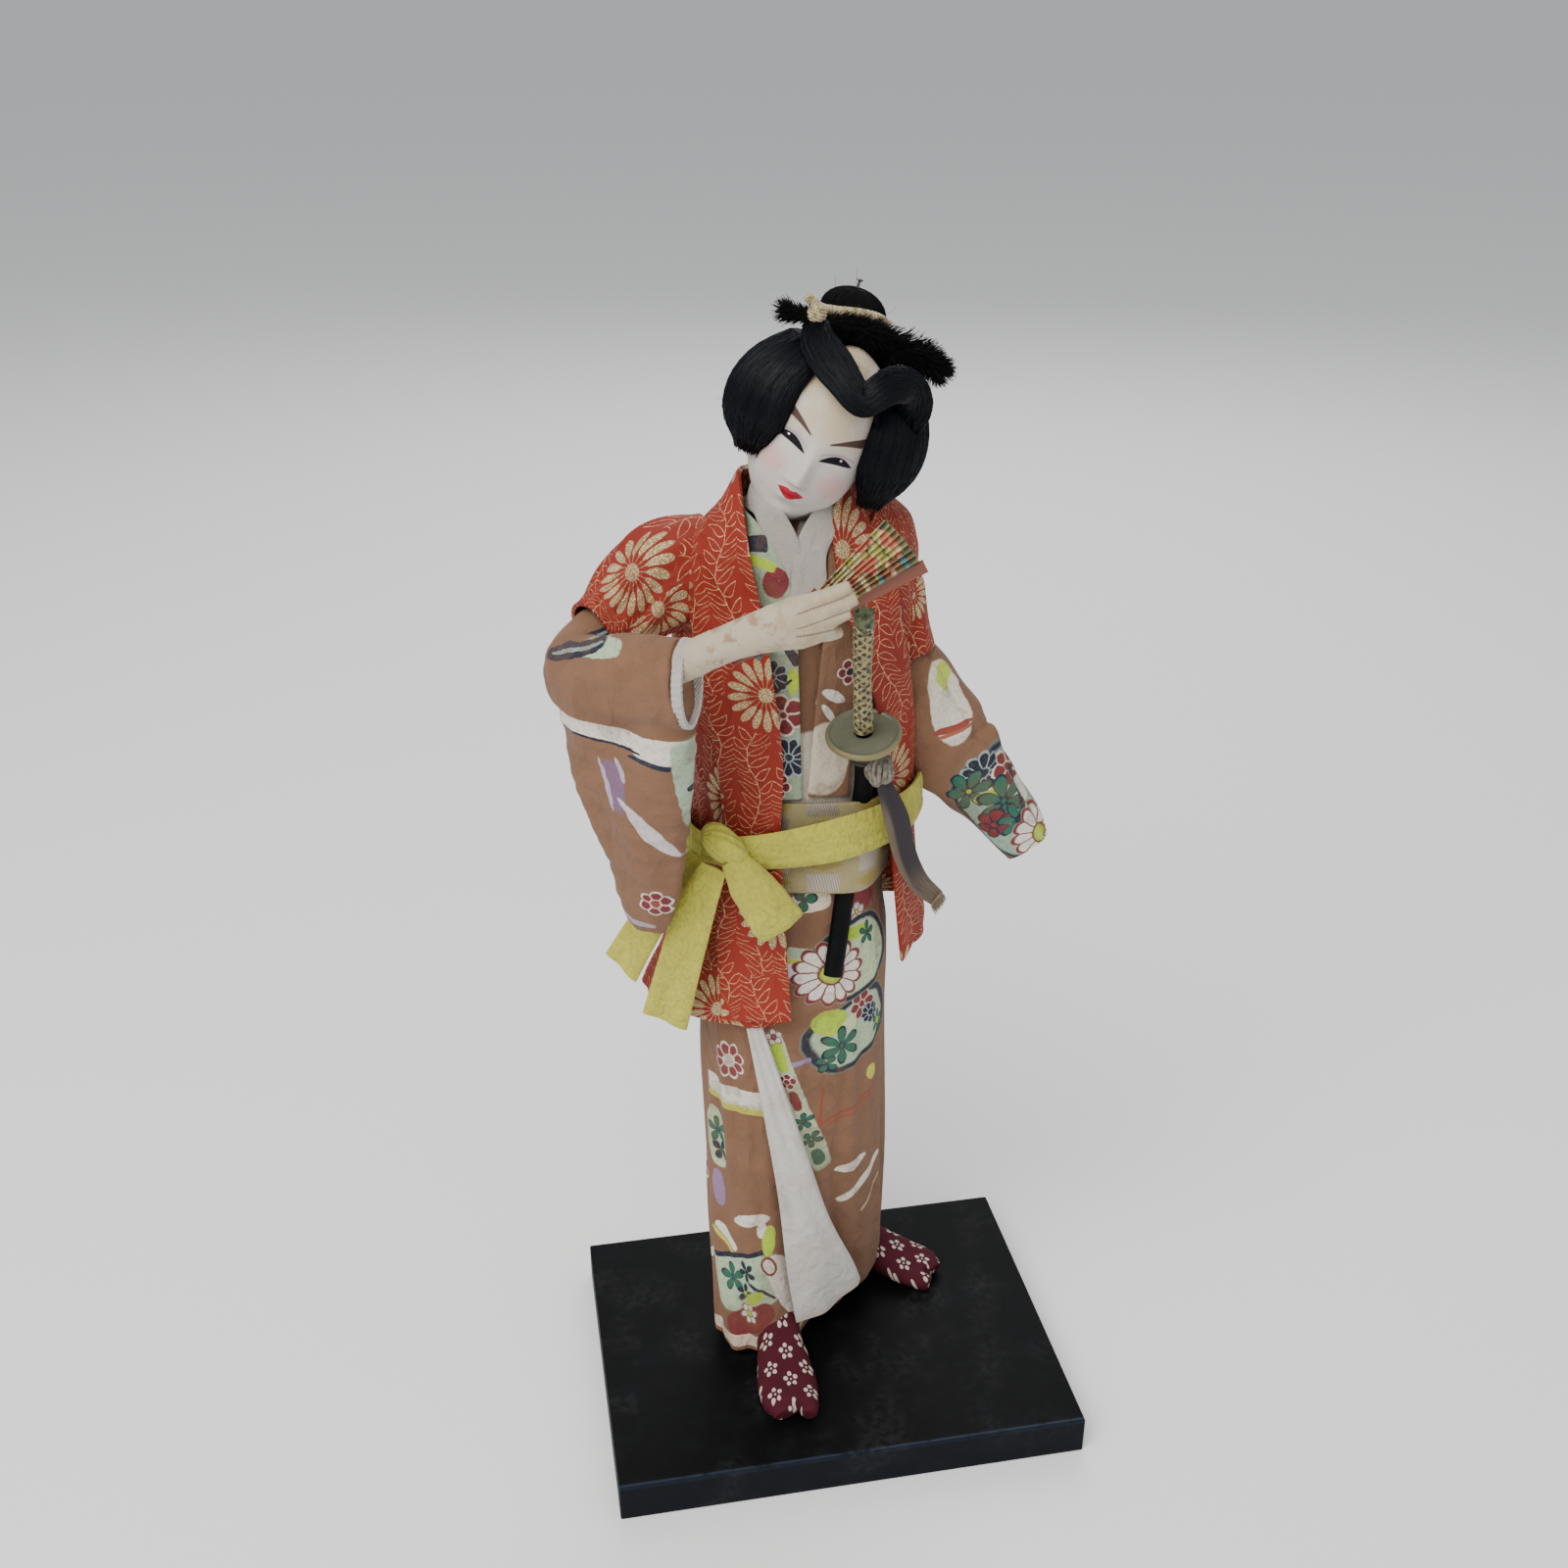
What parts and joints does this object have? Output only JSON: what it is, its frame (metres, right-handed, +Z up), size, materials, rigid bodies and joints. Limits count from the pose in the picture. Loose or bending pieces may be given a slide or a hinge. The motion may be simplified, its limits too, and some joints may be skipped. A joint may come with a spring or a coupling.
{
  "type": "samurai doll",
  "caption": "Standing cloth-dressed figure with a half-closed fan and a sword at the waist, on a low rectangular lacquered board.",
  "frame": {"origin": "middle of the board's flat underside", "axes": "+Z up; the figure faces -Y; +X is the figure's left"},
  "size_m": [0.1756, 0.126, 0.4076],
  "materials": {
    "lacquer": "black lacquer, semi-gloss, worn edges",
    "sock_cloth": "maroon cotton print",
    "face": "white powdered shell coat, satin, aged",
    "kimono_crepe": "printed crepe",
    "white_cloth": "plain white lining cloth",
    "vest_brocade": "orange-red brocade with gold weft",
    "obi_brocade": "cream and gold brocade",
    "sash_crepe": "yellow crepe",
    "hand_cloth": "cream cloth over wadding, stained",
    "sword_metal": "dull olive metal",
    "gilt_braid": "gold and grey braid",
    "ribbon": "purple-brown tape",
    "fan_paper": "printed paper",
    "fan_wood": "stained bamboo",
    "hair": "black silk fibre",
    "pin_metal": "dark steel pin"
  },
  "bodies": {
    "root": {"lacquered_board": "lacquer", "scabbard": "lacquer", "right_sock": "sock_cloth", "left_sock": "sock_cloth", "head": "face", "kimono_skirt": "kimono_crepe", "kimono_chest": "kimono_crepe", "kimono_collar": "kimono_crepe", "right_sleeve": "kimono_crepe", "left_sleeve": "kimono_crepe", "kimono_lining_flap": "white_cloth", "under_collar": "white_cloth", "sleeve_cuff": "white_cloth", "vest_body": "vest_brocade", "vest_right_sleeve": "vest_brocade", "vest_left_sleeve": "vest_brocade", "vest_band": "vest_brocade", "obi": "obi_brocade", "sash": "sash_crepe", "sash_knot": "sash_crepe", "sash_loop": "sash_crepe", "sash_front_tail": "sash_crepe", "sash_back_tail": "sash_crepe", "right_hand": "hand_cloth", "sword_guard": "sword_metal", "sword_pommel": "sword_metal", "sword_handle": "gilt_braid", "topknot_cord": "gilt_braid", "cord_bead": "gilt_braid", "sword_cord_knot": "gilt_braid", "sword_ribbon": "ribbon", "fan_leaf": "fan_paper", "fan_ribs": "fan_wood", "fan_guard": "fan_wood", "wig_cap": "hair", "right_side_lock": "hair", "left_side_lock": "hair", "forelock": "hair", "crown_tuft": "hair", "topknot": "hair", "topknot_pin": "pin_metal"}
  },
  "joints": []
}
